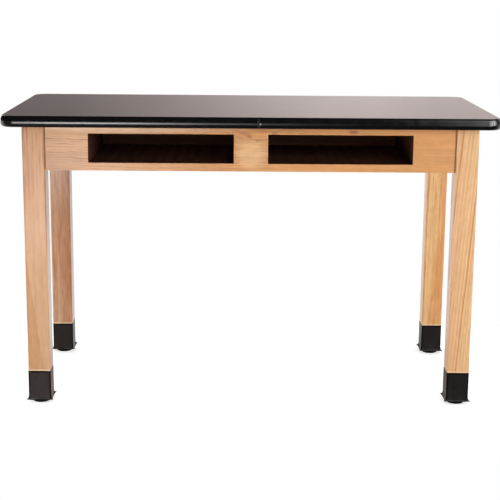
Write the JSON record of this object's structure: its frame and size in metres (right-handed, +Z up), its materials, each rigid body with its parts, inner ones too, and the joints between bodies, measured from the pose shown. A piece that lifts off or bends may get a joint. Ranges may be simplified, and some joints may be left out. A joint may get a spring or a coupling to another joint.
{
  "type": "science lab table",
  "caption": "Wooden laboratory table with a black bullnose-edged top, book compartments open through the front apron, and levelling feet under black leg boots.",
  "frame": {"origin": "on the floor under the middle of the top, with the feet screwed right in", "axes": "+X to the right as seen from the front, +Y to the back, +Z up"},
  "size_m": [1.26, 0.6096, 0.762],
  "materials": {
    "laminate": "black high-pressure laminate, satin",
    "band": "black moulded edge band, glossy",
    "board": "raw particle board",
    "backer": "brown paper-based backing sheet",
    "wood": "clear-lacquered hardwood, satin",
    "panel": "dark-stained hardboard",
    "boot": "black moulded plastic, satin",
    "foot": "black nylon",
    "steel": "zinc plated"
  },
  "bodies": {
    "table": {"top_laminate": "laminate", "edge_band": "band", "top_core": "board", "top_backer": "backer", "leg_front_left": "wood", "leg_front_right": "wood", "leg_rear_left": "wood", "leg_rear_right": "wood", "front_apron": "wood", "rear_apron": "wood", "left_apron": "wood", "right_apron": "wood", "compartment_left_floor": "panel", "compartment_left_side_left": "panel", "compartment_left_side_right": "panel", "compartment_left_back": "panel", "compartment_left_cleat_left": "wood", "compartment_left_cleat_right": "wood", "compartment_right_floor": "panel", "compartment_right_side_left": "panel", "compartment_right_side_right": "panel", "compartment_right_back": "panel", "compartment_right_cleat_left": "wood", "compartment_right_cleat_right": "wood", "top_cleat_left": "wood", "top_cleat_right": "wood", "brace_front_left": "steel", "brace_front_right": "steel", "brace_rear_left": "steel", "brace_rear_right": "steel", "hanger_bolt_front_left": "steel", "hanger_bolt_front_right": "steel", "hanger_bolt_rear_left": "steel", "hanger_bolt_rear_right": "steel", "brace_nut_front_left": "steel", "brace_nut_front_right": "steel", "brace_nut_rear_left": "steel", "brace_nut_rear_right": "steel", "glide_insert_front_left": "steel", "glide_insert_front_right": "steel", "glide_insert_rear_left": "steel", "glide_insert_rear_right": "steel", "boot_front_left": "boot", "boot_front_right": "boot", "boot_rear_left": "boot", "boot_rear_right": "boot"},
    "foot_front_left": {"glide_pad_front_left": "foot"},
    "stem_front_left": {"glide_stem_front_left": "steel"},
    "foot_front_right": {"glide_pad_front_right": "foot"},
    "stem_front_right": {"glide_stem_front_right": "steel"},
    "foot_rear_left": {"glide_pad_rear_left": "foot"},
    "stem_rear_left": {"glide_stem_rear_left": "steel"},
    "foot_rear_right": {"glide_pad_rear_right": "foot"},
    "stem_rear_right": {"glide_stem_rear_right": "steel"}
  },
  "joints": [
    {"name": "foot_height_front_left", "type": "slide", "parent": "table", "child": "foot_front_left", "axis": [0, 0, -1], "range_m": [0, 0.01905]},
    {"name": "stem_turn_front_left", "type": "hinge", "parent": "foot_front_left", "child": "stem_front_left", "pos_m": [-0.55012, -0.23233, 0.017], "axis": [0, 0, -1], "range_deg": [0, 4320]},
    {"name": "foot_height_front_right", "type": "slide", "parent": "table", "child": "foot_front_right", "axis": [0, 0, -1], "range_m": [0, 0.01905]},
    {"name": "stem_turn_front_right", "type": "hinge", "parent": "foot_front_right", "child": "stem_front_right", "pos_m": [0.55012, -0.23233, 0.017], "axis": [0, 0, -1], "range_deg": [0, 4320]},
    {"name": "foot_height_rear_left", "type": "slide", "parent": "table", "child": "foot_rear_left", "axis": [0, 0, -1], "range_m": [0, 0.01905]},
    {"name": "stem_turn_rear_left", "type": "hinge", "parent": "foot_rear_left", "child": "stem_rear_left", "pos_m": [-0.55012, 0.23233, 0.017], "axis": [0, 0, -1], "range_deg": [0, 4320]},
    {"name": "foot_height_rear_right", "type": "slide", "parent": "table", "child": "foot_rear_right", "axis": [0, 0, -1], "range_m": [0, 0.01905]},
    {"name": "stem_turn_rear_right", "type": "hinge", "parent": "foot_rear_right", "child": "stem_rear_right", "pos_m": [0.55012, 0.23233, 0.017], "axis": [0, 0, -1], "range_deg": [0, 4320]}
  ],
  "couplings": [
    {"joint": "stem_turn_front_left", "follows": "foot_height_front_left", "rad_per_m": 3957.9},
    {"joint": "stem_turn_front_right", "follows": "foot_height_front_right", "rad_per_m": 3957.9},
    {"joint": "stem_turn_rear_left", "follows": "foot_height_rear_left", "rad_per_m": 3957.9},
    {"joint": "stem_turn_rear_right", "follows": "foot_height_rear_right", "rad_per_m": 3957.9}
  ]
}
